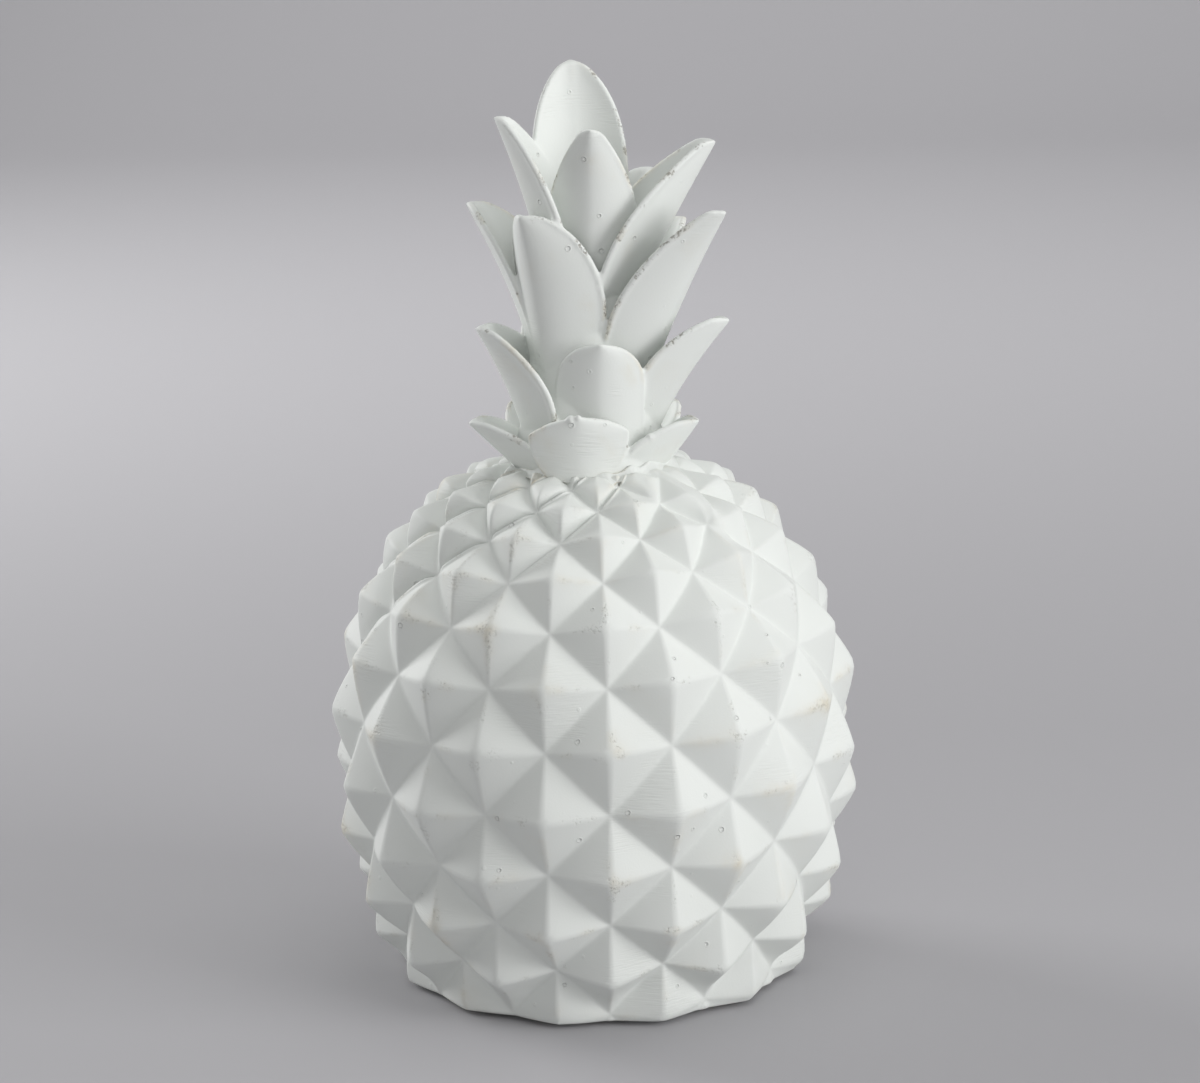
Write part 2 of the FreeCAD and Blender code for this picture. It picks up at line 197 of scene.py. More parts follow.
def turned(place: Field, rotation: Sequence[float], stretch: Sequence[float]) -> Field:
    """Turns and stretches coordinates, for a pattern that runs one way."""
    return field_of(
        place.tree, "ShaderNodeMapping", {"Vector": place, "Rotation": rotation, "Scale": stretch}
    )


def blend(share: Field, first: Field | Sequence[float], second: Field | Sequence[float]) -> Field:
    """Mixes two colours by the share of the second."""
    inputs = {MIX_SHARE: share, MIX_FIRST: first, MIX_SECOND: second}
    return field_of(share.tree, "ShaderNodeMix", inputs, MIX_RESULT, data_type="RGBA")


def bumped(height: Field, depth_mm: float = 1.0) -> Field:
    """Turns a height, in units of a depth, into the normal of a surface with that relief."""
    return field_of(height.tree, "ShaderNodeBump", {"Height": height, "Distance": depth_mm * MM})


def new_material(name: str, surface: Callable[[Field], Mapping[str, object]]) -> Material:
    """Makes a material with one shader.

    Args:
        name: The material's name.
        surface: Works out the shader's inputs from the Object coordinates.

    Returns:
        The material.
    """
    material = bpy.data.materials.new(name)
    material.use_nodes = True
    tree = material.node_tree
    tree.nodes.clear()
    place = field_of(tree, "ShaderNodeTexCoord", output="Object")
    shader = field_of(tree, "ShaderNodeBsdfPrincipled", surface(place))
    add_node(tree, "ShaderNodeOutputMaterial", {"Surface": shader})
    return material


@dataclass(frozen=True)
class PaintedResin:
    """Cast polyester resin under sprayed matt white acrylic.

    The paint's flat pigment gives the eye an even chalky white with a wide weak sheen. The casting
    below shows through it as air bubbles, as file strokes and as a faint ochre tone on the edges.
    A rise is the value of a noise where something sets in, and how steeply it does.
    """

    name: str = "matt white acrylic on cast resin"
    paint: str = "#E5E8E5"
    shade: str = "#DBDEDA"
    ochre: str = "#CFC2A4"
    dirt: str = "#8F897D"
    cloud_mm: float = 42.0
    ochre_patch_mm: float = 14.0
    ochre_speck_mm: float = 2.1
    ochre_level: float = 0.52
    ochre_gain: float = 6.5
    ochre_most: float = 0.5
    dirt_gain: float = 1.5
    dirt_most: float = 0.6
    roughness: float = 0.62
    ior: float = 1.48
    peel_mm: float = 0.5
    peel_depth_mm: float = 0.02
    stroke_mm: float = 0.45
    stroke_depth_mm: float = 0.12
    stroke_turn: Triple = (0.35, 0.2, 0.5)
    stroke_stretch: Triple = (0.1, 0.12, 1.0)
    stroke_patch_mm: float = 21.0
    stroke_rise: Pair = (0.53, 12.0)
    bubble_mm: float = 4.0
    bubble_share: float = 0.19
    bubble_depth_mm: float = 0.22
    bubble_rarity: float = 0.78
    bubble_slope: float = 14.0
    bead_height_mm: float = 0.09
    bead_slope: float = 22.0
    chip_mm: float = 0.8
    chip_depth_mm: float = 0.6
    chip_level: float = 0.5
    chip_patch_mm: float = 7.0
    chip_patch_rise: Pair = (0.54, 14.0)
    chip_wear_rise: Pair = (0.12, 5.0)
    smear_mm: float = 2.4
    smear_depth_mm: float = 0.0
    filed_spots: tuple[Quad, ...] = ()
    filed_most: float = 2.5

    def surface(self, place: Field) -> dict[str, object]:
        """Works out the shader's inputs, with chips on the edges that the wear attribute names.

        Args:
            place: The Object coordinates.

        Returns:
            The inputs by name.
        """
        wear = field_of(place.tree, "ShaderNodeAttribute", output="Fac", attribute_name="wear")
        worn = noise_of(place, self.chip_patch_mm).rising(*self.chip_patch_rise)
        worn *= wear.rising(*self.chip_wear_rise)
        chips = (noise_of(place, self.chip_mm, 3.0) - self.chip_level).math("MAXIMUM", 0.0) * worn
        return {
            "Base Color": self.colour(place, wear, chips),
            "Roughness": self.roughness,
            "IOR": self.ior,
            "Normal": bumped(self.relief(place) - chips * self.chip_depth_mm),
        }

    def colour(self, place: Field, wear: Field, chips: Field) -> Field:
        """Mixes the paint's cloudy white with the ochre tone of worn edges and the dirt in chips.

        Args:
            place: The Object coordinates.
            wear: How worn the surface is, 0 to 1.
            chips: How deep the chips are, 0 to about 0.3.

        Returns:
            The colour.
        """
        patches = (noise_of(place, self.ochre_patch_mm) - self.ochre_level) * self.ochre_gain
        specks = patches.math("MAXIMUM", 0.0) * noise_of(place, self.ochre_speck_mm) * wear
        clouded = blend(noise_of(place, self.cloud_mm), linear(self.paint), linear(self.shade))
        toned = blend(specks.math("MINIMUM", self.ochre_most), clouded, linear(self.ochre))
        soiled = (chips * self.dirt_gain).math("MINIMUM", self.dirt_most)
        return blend(soiled, toned, linear(self.dirt))

    def relief(self, place: Field) -> Field:
        """Adds up the fine relief of the paint and of the casting under it.

        Args:
            place: The Object coordinates.

        Returns:
            The height in millimetres.
        """
        filed = noise_of(place, self.stroke_patch_mm).rising(*self.stroke_rise)
        for x, y, z, radius in self.filed_spots:
            spot = {0: place, 1: (x * MM, y * MM, z * MM)}
            away = field_of(place.tree, "ShaderNodeVectorMath", spot, "Value", operation="DISTANCE")
            filed = filed.math("MAXIMUM", (away * (-1.0 / MM) + radius).clamped(0.0, self.filed_most))
        streak = turned(place, self.stroke_turn, self.stroke_stretch)
        strokes = (noise_of(streak, self.stroke_mm, 1.0) - NOISE_MEAN) * filed
        cells = {"Vector": place, "Scale": 1 / (self.bubble_mm * MM)}
        bubbles = add_node(place.tree, "ShaderNodeTexVoronoi", cells)
        cell = {0: Field(place.tree, bubbles.outputs["Color"])}
        chance = add_node(place.tree, "ShaderNodeSeparateColor", cell).outputs
        edge = Field(place.tree, chance[1]) * self.bubble_share
        inside = edge - Field(place.tree, bubbles.outputs["Distance"])
        chosen = Field(place.tree, chance[0]).math("GREATER_THAN", self.bubble_rarity)
        pits = inside.rising(0.0, self.bubble_slope) * chosen
        beads = inside.bell(1 / self.bead_slope) * chosen
        peel = noise_of(place, self.peel_mm) * self.peel_depth_mm
        smear = noise_of(place, self.smear_mm, 4.0) * self.smear_depth_mm
        casting = beads * self.bead_height_mm - pits * self.bubble_depth_mm
        return peel + strokes * self.stroke_depth_mm + smear + casting


@dataclass(frozen=True)
class BareResin:
    """Bare cast polyester resin, filled with marble dust and sanded flat.

    The dust gives the eye a dull off-white with fine grey grains.
    """

    name: str = "sanded cast resin"
    body: str = "#CFCBC2"
    grain: str = "#B5B1A8"
    roughness: float = 0.7
    ior: float = 1.5
    grain_mm: float = 0.8
    grain_depth_mm: float = 0.03

    def surface(self, place: Field) -> dict[str, object]:
        """Works out the shader's inputs from the Object coordinates.

        Args:
            place: The Object coordinates.

        Returns:
            The inputs by name.
        """
        grains = noise_of(place, self.grain_mm, 3.0)
        return {
            "Base Color": blend(grains, linear(self.body), linear(self.grain)),
            "Roughness": self.roughness,
            "IOR": self.ior,
            "Normal": bumped(grains, self.grain_depth_mm),
        }


@dataclass(frozen=True)
class WoolFelt:
    """Pressed wool felt.

    Its matted fibres give the eye a soft grey with short crossing hairs and a fuzzy sheen.
    """

    name: str = "pressed wool felt"
    wool: str = "#8E8B86"
    dark_wool: str = "#6F6C68"
    roughness: float = 0.95
    ior: float = 1.45
    sheen: float = 0.35
    hair_mm: float = 0.35
    hair_turns: Pair = (0.6, -0.9)
    hair_stretch: float = 0.2
    hair_depth_mm: float = 0.12

    def surface(self, place: Field) -> dict[str, object]:
        """Works out the shader's inputs from the Object coordinates.

        Args:
            place: The Object coordinates.

        Returns:
            The inputs by name.
        """
        turns = [(0.0, 0.0, turn) for turn in self.hair_turns]
        along = turned(place, turns[0], (1.0, self.hair_stretch, 1.0))
        across = turned(place, turns[1], (self.hair_stretch, 1.0, 1.0))
        hairs = noise_of(along, self.hair_mm).math("MAXIMUM", noise_of(across, self.hair_mm))
        return {
            "Base Color": blend(hairs, linear(self.dark_wool), linear(self.wool)),
            "Roughness": self.roughness,
            "IOR": self.ior,
            "Sheen Weight": self.sheen,
            "Normal": bumped(hairs, self.hair_depth_mm),
        }


def plain_mesh(made: Object, name: str) -> Object:
    """Turns an object with modifiers into a plain mesh at the origin.

    Args:
        made: The object, which is removed.
        name: The name of the new object.

    Returns:
        The new object, with no modifier.
    """
    graph = bpy.context.evaluated_depsgraph_get()
    graph.update()
    mesh = bpy.data.meshes.new_from_object(made.evaluated_get(graph), depsgraph=graph)
    mesh.name = name
    bpy.data.objects.remove(made)
    return linked(name, mesh)


def linked(name: str, data: ID) -> Object:
    """Links a new object to the scene.

    Args:
        name: The object's name.
        data: Its mesh, lamp or camera.

    Returns:
        The object.
    """
    made = bpy.data.objects.new(name, data)
    bpy.context.scene.collection.objects.link(made)
    return made


def mark_wear(mesh: Mesh, edge_mm: float) -> None:
    """Stores how far each point stands out of its neighbours as the mesh's wear attribute.

    Args:
        mesh: The mesh.
        edge_mm: How far a point stands out where the wear is full.
    """
    count = len(mesh.vertices)
    places, normals = np.zeros((2, count * 3), np.float32)
    mesh.vertices.foreach_get("co", places)
    mesh.vertices.foreach_get("normal", normals)
    places, normals = places.reshape(-1, 3), normals.reshape(-1, 3)
    ends = np.zeros(len(mesh.edges) * 2, np.int32)
    mesh.edges.foreach_get("vertices", ends)
    near, far = np.concatenate([ends.reshape(-1, 2), ends.reshape(-1, 2)[:, ::-1]]).T
    degree = np.maximum(np.bincount(near, minlength=count), 1)

    def mean(values: np.ndarray) -> np.ndarray:
        """Averages a value over each point's neighbours."""
        return np.bincount(near, weights=values[far], minlength=count) / degree

    means = np.stack([mean(places[:, axis]) for axis in range(3)], 1)
    height = ((places - means) * normals).sum(1) / (edge_mm * MM)
    for _ in range(WEAR_ROUNDS):
        height = (height + mean(height)) / 2
    wear = mesh.attributes.new("wear", "FLOAT", "POINT")
    wear.data.foreach_set("value", np.clip(height, 0, 1).astype(np.float32))


def mesh_of(made: BMesh, name: str) -> Mesh:
    """Turns a working mesh into a named one, with its faces outward.

    Args:
        made: The working mesh, which is freed.
        name: The new mesh's name.

    Returns:
        The new mesh.
    """
    bmesh.ops.recalc_face_normals(made, faces=made.faces[:])
    mesh = bpy.data.meshes.new(name)
    made.to_mesh(mesh)
    made.free()
    return mesh


def add_skin(made: BMesh, rings: Iterable, is_loop: bool = False) -> None:
    """Adds a closed skin over closed rings of points.

    Args:
        made: The mesh.
        rings: The points of each ring in metres, as many in each.
        is_loop: Whether the skin goes on from the last ring to the first, instead of having lids.
    """
    rows = [[made.verts.new(point) for point in ring] for ring in rings]
    for near, far in zip(rows, rows[1:] + rows[:1] if is_loop else rows[1:]):
        for place in range(len(near)):
            after = (place + 1) % len(near)
            made.faces.new((near[place], near[after], far[after], far[place]))
    if not is_loop:
        made.faces.new(rows[0])
        made.faces.new(rows[-1][::-1])


def dress(piece: Object, material: Material, node: str, edge_mm: float) -> None:
    """Gives a piece its wear and its material, attaches it to the root, and hides the CAD node that it
    stands for.

    Args:
        piece: The piece, whose place is in its mesh.
        material: Its material.
        node: The CAD node that it replaces.
        edge_mm: How far a point stands out of its neighbours where the wear is full.
    """
    piece.data.shade_smooth()
    mark_wear(piece.data, edge_mm)
    piece.data.materials.clear()
    piece.data.materials.append(material)
    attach(piece, "root")
    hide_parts(node)
    LOG.info("%s: %d faces", piece.name, len(piece.data.polygons))


@dataclass(frozen=True)
class BodyPlace:
    """A place of the net, wound round the smooth body under the scales.

    Attributes:
        along: Its row plus its column.
        across: Its row less its column.
        sizes: The tree's named inputs.
        azimuth: Radians from the front.
        sine: The azimuth's sine.
        cosine: The azimuth's cosine.
        level: Half rows above the girth.
        radius: Distance from the axis.
        height: Height above the foot's face.
        outward: The outward part of the direction out of the body.
        upward: The upward part of it.
        relief: How far a scale stands out there.
    """

    along: Field
    across: Field
    sizes: Mapping[str, Field]
    azimuth: Field
    sine: Field
    cosine: Field
    level: Field
    radius: Field
    height: Field
    outward: Field
    upward: Field
    relief: Field


@dataclass
class ScaledFruit:
    """The fruit: an egg-shaped body with a helical lattice of four-sided pyramid scales.

    A place of the lattice is a row, counted in half rows up from the girth, and a column, counted in
    half columns round from the front. Valleys meet where row and column add up to an even number, and
    scales have their tips where they add up to an odd one. Sizes are in millimetres.
    """

    girth_radius: float = 63.7
    girth_height: float = 66.4
    foot_radius: float = 45.7
    foot_height: float = 1.0
    seat_height: float = 136.0
    neck_radius: float = 21.2
    scale_relief: float = 6.2
    half_columns: int = 25
    farthest_column: int = 12
    lowest_row: int = -6
    highest_row: int = 9
    lattice_turn: float = 3.0
    lattice_shift: float = -0.4
    upper_row_angle: float = 13.1
    upper_crowding_share: float = 0.0336
    lower_row_angle: float = 9.83
    lower_crowding_share: float = 0.0117
    foot_relief_share: float = 0.45
    neck_relief_power: float = 0.3
    neck_fade_levels: Pair = (5.0, 6.9)
    neck_fade_share: float = 0.62
    lean_levels: Pair = (3.0, 6.0)
    lean_share: float = 0.4
    foot_fill_levels: Pair = (-3.7, -4.8)
    foot_valley_share: float = 0.62
    foot_tip_share: float = 0.82
    cell_steps: int = 21
    even_steps_share: float = 0.4
    valley_round_share: float = 0.035
    ridge_round_share: float = 0.05
    tip_round_share: float = 0.09
    dome_power: float = 1.6
    dome_levels: Pair = (3.4, 6.8)
    crevice_levels: Pair = (4.6, 6.2)
    crevice_swing: float = 3.4
    crevice_start: float = 0.01
    crevice_depth: float = 2.2
    crevice_width_share: float = 0.19
    star_slope: float = 3.0
    groove_depth: float = 1.1
    groove_width_share: float = 0.3
    lip_height: float = 0.9
    lip_width_share: float = 0.065
    wobble: float = 0.5
    wobble_size: float = 26.0
    uneven_share: float = 0.06
    bands: tuple[Triple, ...] = ((10, 4.5, 6.0), (30, 4.0, 5.4), (50, 4.5, 4.0))
    band_share: float = 0.75
    seat_radius: float = 19.6
    seat_run: float = 1.4
    socket_radius: float = 12.15
    socket_depth: float = 14.0
    socket_margin: float = 1.2
    merge_distance: float = 0.04
    cut_tolerance: float = 0.001
    worn_edge: float = 0.35
    recess_radius: float = 33.7
    recess_depth: float = 3.0
    edge_rounding: tuple[Pair, ...] = ((0.25, 0.45), (0.7, 0.12), (1.3, 0.0))

    def half_axis(self, rim_height: float, rim_radius: float) -> float:
        """Height of the half ellipse that runs from the girth through a rim."""
        return abs(rim_height - self.girth_height) / math.sqrt(1 - (rim_radius / self.girth_radius) ** 2)

    def net(self) -> Object:
        """Makes the flat net of the lattice, with the column as X and the row as Y.

        Each scale is a square patch of the net whose triangles are split along its two ridges.

        Returns:
            An object with the net.
        """
        steps = self.cell_steps
        even = np.linspace(-1.0, 1.0, steps + 1)
        crowded = np.sin(even * math.pi / 2)
        shares = even * self.even_steps_share + crowded * (1 - self.even_steps_share)
        along, across = np.meshgrid(shares, shares, indexing="ij")
        patch = np.stack([(along - across) / 2, (along + across) / 2, np.zeros_like(along)], -1)
        number = np.arange((steps + 1) ** 2).reshape(steps + 1, steps + 1)
        a, b, c, d = number[:-1, :-1], number[1:, :-1], number[1:, 1:], number[:-1, 1:]
        middle = (shares[:-1] + shares[1:]) / 2
        is_even = (middle[:, None] * middle[None, :] > 0)[..., None]
        first = np.where(is_even, np.stack([a, c, b], -1), np.stack([a, d, b], -1))
        second = np.where(is_even, np.stack([a, d, c], -1), np.stack([b, d, c], -1))
        facets = np.concatenate([first.reshape(-1, 3), second.reshape(-1, 3)])
        points, faces = [], []
        for row in range(self.lowest_row, self.highest_row + 1):
            for column in range(-self.farthest_column, self.farthest_column + 1):
                if (row + column) % 2:
                    faces.append(facets + len(points) * number.size)
                    points.append(patch.reshape(-1, 3) + (column, row, 0))
        mesh = bpy.data.meshes.new("lattice_net")
        mesh.from_pydata(np.concatenate(points).tolist(), [], np.concatenate(faces).tolist())
        return linked("lattice_net", mesh)

    def tree_inputs(self) -> dict[str, float]:
        """Named inputs of the tree, in metres where they are lengths."""
        return {
            "Girth radius": self.girth_radius * MM,
            "Girth height": self.girth_height * MM,
            "Upper rise": self.half_axis(self.seat_height, self.neck_radius) * MM,
            "Lower drop": self.half_axis(self.foot_height, self.foot_radius) * MM,
            "Scale relief": self.scale_relief * MM,
            "Crevice depth": self.crevice_depth * MM,
            "Groove depth": self.groove_depth * MM,
            "Lip height": self.lip_height * MM,
            "Wobble": self.wobble * MM,
            "Seat height": self.seat_height * MM,
        }

    def tree(self, material: Material) -> tuple[NodeTree, dict[str, str]]:
        """Builds the tree that winds the net round the body and raises its scales.

        Args:
            material: The material that the tree sets.

        Returns:
            The tree, and the identifier of each of its named inputs.
        """
        tree = bpy.data.node_groups.new("scale_lattice", "GeometryNodeTree")
        tree.interface.new_socket("Geometry", in_out="OUTPUT", socket_type="NodeSocketGeometry")
        tree.interface.new_socket("Net", in_out="INPUT", socket_type="NodeSocketGeometry")
        keys = {
            name: tree.interface.new_socket(name, in_out="INPUT", socket_type="NodeSocketFloat").identifier
            for name in self.tree_inputs()
        }
        given = add_node(tree, "NodeGroupInput")
        sizes = {name: Field(tree, given.outputs[name]) for name in keys}
        flat = add_node(tree, "ShaderNodeSeparateXYZ", {0: field_of(tree, "GeometryNodeInputPosition")})
        column, row = Field(tree, flat.outputs[0]), Field(tree, flat.outputs[1])
        place = self.place(self.body(column, row, sizes))
        net = Field(tree, given.outputs["Net"])
        wound = field_of(tree, "GeometryNodeSetPosition", {"Geometry": net, "Position": place})
        merging = {"Geometry": wound, "Distance": self.merge_distance * MM}
        merged = field_of(tree, "GeometryNodeMergeByDistance", merging)
        real = field_of(tree, "GeometryNodeRealizeInstances", {"Geometry": merged})
        painted = field_of(tree, "GeometryNodeSetMaterial", {"Geometry": real, "Material": material})
        add_node(tree, "NodeGroupOutput", {"Geometry": painted})
        return tree, keys

    def body(self, column: Field, row: Field, sizes: Mapping[str, Field]) -> BodyPlace:
        """Winds a place of the net round the smooth body.

        Args:
            column: The place's column.
            row: Its row.
            sizes: The tree's named inputs.

        Returns:
            The place on the body.
        """
        turn = column * (1 / self.half_columns) + self.lattice_turn / 360
        azimuth = turn * math.tau
        level = row + turn + self.lattice_shift
        is_upper = level.math("GREATER_THAN", 0.0)
        upper = level * (level * -self.upper_crowding_share + 1.0) * self.upper_row_angle
        lower = level * (level * self.lower_crowding_share + 1.0) * self.lower_row_angle
        latitude = lower.mixed(upper, is_upper).math("RADIANS")
        cosine, sine = latitude.math("COSINE"), latitude.math("SINE")
        rise = sizes["Lower drop"].mixed(sizes["Upper rise"], is_upper)
        steep_out, steep_up = rise * cosine, sizes["Girth radius"] * sine
        steepness = (steep_up * steep_up + steep_out * steep_out).math("SQRT")
        upper_share = cosine.math("MAXIMUM", 0.0).math("POWER", self.neck_relief_power)
        lower_share = sine * -self.foot_relief_share + 1.0
        return BodyPlace(
            along=row + column,
            across=row - column,
            sizes=sizes,
            azimuth=azimuth,
            sine=azimuth.math("SINE"),
            cosine=azimuth.math("COSINE"),
            level=level,
            radius=sizes["Girth radius"] * cosine,
            height=rise * sine + sizes["Girth height"],
            outward=steep_out / steepness,
            upward=steep_up / steepness,
            relief=sizes["Scale relief"] * lower_share.mixed(upper_share, is_upper),
        )

    def scale(self, body: BodyPlace) -> Field:
        """Works out a scale's height, a blunt pyramid that is domed at the neck and filled at the foot.

        Args:
            body: A place on the body.

        Returns:
            How far the scale stands out there.
        """
        sides = [edge.math("PINGPONG", 1.0) for edge in (body.along, body.across)]
        slopes = [(side * side + self.valley_round_share**2).math("SQRT") for side in sides]
        pyramid = slopes[0].math("SMOOTH_MIN", slopes[1], self.ridge_round_share)
        below = (1.0 - pyramid).math("MAXIMUM", 0.0)
        rounded = (below * below + self.tip_round_share**2).math("SQRT") - self.tip_round_share / 2
        dome = 1.0 - below.math("POWER", self.dome_power)
        shape = (1.0 - rounded).mixed(dome, body.level.graded(*self.dome_levels))
        filled = shape * (self.foot_tip_share - self.foot_valley_share) + self.foot_valley_share
        shape = shape.mixed(filled, body.level.graded(*self.foot_fill_levels))
        cell = combined(*((edge * 0.5).math("FLOOR") for edge in (body.along, body.across)))
        chance = field_of(
            cell.tree, "ShaderNodeTexWhiteNoise", {"Vector": cell}, "Value", noise_dimensions="2D"
        )
        uneven = chance * self.uneven_share + (1.0 - self.uneven_share / 2)
        relief = body.relief * (body.level.graded(*self.neck_fade_levels) * -self.neck_fade_share + 1.0)
        height = (shape - self.valley_round_share) * uneven * relief
        for azimuth, spread, start in self.bands:
            near = (body.azimuth * (180 / math.pi) - azimuth).bell(spread)
            height = height.mixed(relief * self.band_share, near * (body.level - start).clamped())
        return height

    def creases(self, body: BodyPlace) -> Field:
        """Works out the crevices between the scales near the neck, with the lips beside them.

        Args:
            body: A place on the body.

        Returns:
            How far they stand out there.
        """
        side, falling_side = (edge.math("WRAP", 1.0, -1.0) for edge in (body.across, body.along))
        share = (body.sine * -self.crevice_swing + body.level).graded(*self.crevice_levels)
        off_star = (body.along.math("PINGPONG", 1.0) * self.star_slope).math("MINIMUM", 1.0)
        sharp = share * off_star
        is_over = side.math("GREATER_THAN", self.crevice_start)
        sunk = side.bell(self.crevice_width_share) * is_over * sharp * body.sizes["Crevice depth"]
        lip = side.bell(self.lip_width_share) * (1.0 - is_over) * sharp * body.sizes["Lip height"]
        groove = falling_side.bell(self.groove_width_share) * share * body.sizes["Groove depth"]
        return lip - (groove + sunk)

    def place(self, body: BodyPlace) -> Field:
        """Works out where a place of the net lies on the fruit.

        Args:
            body: The place on the body.

        Returns:
            Its coordinates in metres.
        """
        smooth = combined(body.radius * body.sine, body.radius * body.cosine, body.height)
        ripple = (noise_of(smooth, self.wobble_size, 1.0) - NOISE_MEAN) * body.sizes["Wobble"]
        height = self.scale(body) + self.creases(body) + ripple
        lean = body.level.graded(*self.lean_levels) * self.lean_share
        radius = height * (lean * body.upward + body.outward) + body.radius
        level = height * (body.upward - lean * body.outward) + body.height
        seat_share = body.radius.graded((self.seat_radius + self.seat_run) * MM, self.seat_radius * MM)
        level = level.mixed(body.sizes["Seat height"], seat_share)
        return combined(radius * body.sine, radius * body.cosine * -1.0, level)

    def close(self, mesh: Mesh) -> Mesh:
        """Cuts the foot flat, rounds its edge, and closes the mesh with recess and socket.

        Args:
            mesh: The open mesh of scales.

        Returns:
            The closed mesh.
        """
        made = bmesh.new()
        made.from_mesh(mesh)
        geometry = made.verts[:] + made.edges[:] + made.faces[:]
        cut = Vector((0, 0, (self.foot_height + self.edge_rounding[0][1] * 2) * MM))
        bmesh.ops.bisect_plane(
            made, geom=geometry, plane_co=cut, plane_no=(0, 0, -1), clear_outer=True,
            dist=self.cut_tolerance * MM,
        )
        inner = (self.socket_radius + self.socket_margin) * MM
        near_axis = [v for v in made.verts if v.co.z > cut.z * 2 and v.co.to_2d().length < inner]
        bmesh.ops.delete(made, geom=near_axis, context="VERTS")
        bmesh.ops.delete(made, geom=[v for v in made.verts if not v.link_faces], context="VERTS")
        rims = [edge for edge in made.edges if edge.is_boundary]
        foot = [edge for edge in rims if edge.verts[0].co.z < cut.z * 2]
        neck = [edge for edge in rims if edge.verts[0].co.z > cut.z * 2]
        for inset, height in self.edge_rounding:
            foot = self.extruded(made, foot, self.foot_height + height, lambda old: old - inset * MM)
        for height in (self.foot_height, self.foot_height + self.recess_depth):
            foot = self.extruded(made, foot, height, lambda old: self.recess_radius * MM)
        for height in (self.seat_height, self.seat_height - self.socket_depth):
            neck = self.extruded(made, neck, height, lambda old: self.socket_radius * MM)
        for rim in (foot, neck):
            bmesh.ops.holes_fill(made, edges=rim, sides=0)
        bmesh.ops.triangulate(made, faces=[face for face in made.faces if len(face.verts) > 4])
        return mesh_of(made, "fruit")

    @staticmethod
    def extruded(
        made: BMesh, rim: Sequence[BMEdge], height: float, radius_of: Callable[[float], float]
    ) -> list[BMEdge]:
        """Extrudes a rim to a height and to new distances from the axis.

        Args:
            made: The mesh.
            rim: The rim's edges.
            height: The new rim's height in millimetres.
            radius_of: Gives a point's new distance from the axis from its old one, in metres.

        Returns:
            The edges of the new rim.
        """
        grown = bmesh.ops.extrude_edge_only(made, edges=list(rim))["geom"]
        for vertex in (part for part in grown if isinstance(part, BMVert)):
            radius = vertex.co.to_2d().length
            share = radius_of(radius) / radius
            vertex.co = (vertex.co.x * share, vertex.co.y * share, height * MM)
        return [part for part in grown if isinstance(part, BMEdge)]

    def build(self, finish: PaintedResin) -> None:
        """Makes the fruit and dresses it.

        Args:
            finish: The fruit's finish.
        """
        material = new_material(finish.name, finish.surface)
        net = self.net()
        tree, keys = self.tree(material)
        modifier = net.modifiers.new("scale_lattice", "NODES")
        modifier.node_group = tree
        for name, value in self.tree_inputs().items():
            modifier[keys[name]] = value
        scales = plain_mesh(net, "scales")
        fruit = linked("fruit", self.close(scales.data))
        bpy.data.objects.remove(scales)
        dress(fruit, material, "fruit_shell", self.worn_edge)


@dataclass(frozen=True)
class LeafForm:
    """How a leaf's half width runs from root to tip, in shares of its greatest value.

    Attributes:
        root: The half width at the root.
        tip: The half width at the tip.
        power: How late the leaf narrows towards its tip.
        fall: How round its flanks are, less for rounder ones.
        widest: Where it is widest, as a share of its length.
    """

    root: float
    tip: float
    power: float
    fall: float
    widest: float


class Outline(Enum):
    """Outlines that the leaves have."""

    SLIM = LeafForm(0.8, 0.17, 1.75, 0.9, 0.36)
    BLADE = LeafForm(0.8, 0.19, 2.4, 0.95, 0.38)
    FLARED = LeafForm(1.12, 0.16, 2.0, 0.9, 0.24)
    ROUNDED = LeafForm(0.8, 0.08, 2.7, 0.75, 0.4)
    ARCHED = LeafForm(1.0, 0.12, 3.9, 0.84, 0.33)
    BOWED = LeafForm(0.42, 0.12, 1.25, 0.8, 0.74)
    TAPERED = LeafForm(0.85, 0.18, 2.0, 1.0, 0.4)
    SHOULDERED = LeafForm(0.45, 0.13, 1.95, 0.76, 0.42)


@dataclass(frozen=True)
class Leaf:
    """One leaf, with its tip's height in millimetres above the seat.

    Attributes:
        azimuth: Degrees from the front, to the right positive.
        reach: How far its tip is from the axis.
        tip: The tip's height.
        half_width: Half its greatest width.
        outline: Its outline.
        cup: Depth of its gutter as a share of its half width.
        roll: Degrees that it is turned about its own length.
        bow_reach: Where its bow's middle lies outward, as a share of its run.
        bow_rise: Where its bow's middle lies upward, as a share of its rise.
    """

    azimuth: float
    reach: float
    tip: float
    half_width: float
    outline: Outline
    cup: float = 0.6
    roll: float = 0.0
    bow_reach: float = 0.3
    bow_rise: float = 0.5


@dataclass(frozen=True)
class Tier:
    """One tier of leaves, with its roots' height in millimetres above the seat."""

    root: float
    root_radius: float
    leaves: tuple[Leaf, ...]


